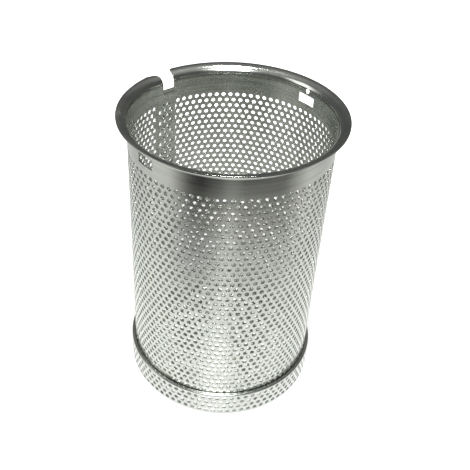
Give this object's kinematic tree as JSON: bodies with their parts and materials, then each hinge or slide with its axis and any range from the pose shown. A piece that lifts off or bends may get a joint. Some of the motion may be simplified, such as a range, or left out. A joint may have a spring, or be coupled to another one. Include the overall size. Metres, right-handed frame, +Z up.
{
  "type": "basket strainer",
  "caption": "Perforated stainless basket strainer with a flared hanging lip, opposed slots, a notched lap seam and a wider perforated bottom cup.",
  "frame": {"origin": "centre of the underside of the bottom cup", "axes": "+Z up along the basket's axis towards the open lip, X through the two opposed slots, +Y towards the notch in the lip"},
  "size_m": [0.1488, 0.1486, 0.2152],
  "materials": {
    "shell_steel": "bright rolled stainless sheet, brushed on the plain band",
    "cup_steel": "bright pressed stainless sheet",
    "weld_metal": "dull weld metal"
  },
  "bodies": {
    "root": {"perforated_shell": "shell_steel", "bottom_cup": "cup_steel", "seam_tack_welds": "weld_metal", "rim_projection_welds": "weld_metal"}
  },
  "joints": []
}
